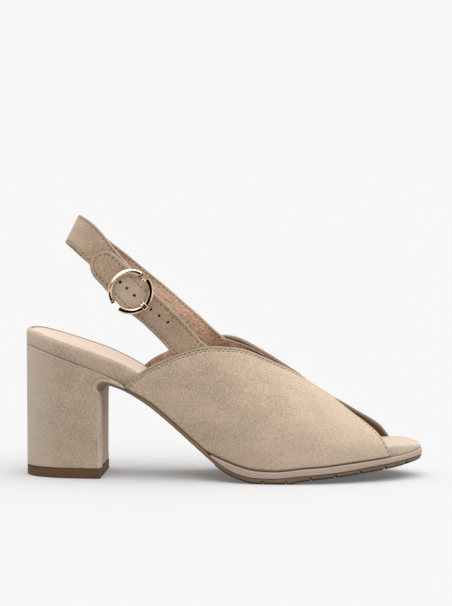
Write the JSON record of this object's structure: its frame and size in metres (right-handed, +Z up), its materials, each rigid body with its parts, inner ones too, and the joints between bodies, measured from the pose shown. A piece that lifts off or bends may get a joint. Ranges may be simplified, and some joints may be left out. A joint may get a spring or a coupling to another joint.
{
  "type": "heeled sandal",
  "caption": "Open-toe heeled sandal for the right foot: suede vamp, upright block heel, thin platform and an ankle strap fastened with a ring buckle.",
  "frame": {"origin": "on the floor, under the middle of the shoe's box", "axes": "+X towards the toe, +Y towards the inner side of the foot, +Z up from the floor"},
  "size_m": [0.229, 0.079, 0.1503],
  "materials": {
    "suede": "taupe beige suede with a short nap",
    "sock_leather": "smooth pale lining leather",
    "platform_leather": "smooth wrapped edge",
    "outsole_rubber": "satin moulded tan",
    "top_lift_rubber": "satin dark brown",
    "buckle_metal": "polished rose gold plating"
  },
  "bodies": {
    "root": {"outsole": "outsole_rubber", "platform": "platform_leather", "footbed": "suede", "sock": "sock_leather", "heel": "suede", "top_lift": "top_lift_rubber", "upper": "suede", "heel_strap": "suede", "buckle_strap": "suede", "buckle_frame": "buckle_metal", "buckle_prong": "buckle_metal"}
  },
  "joints": []
}
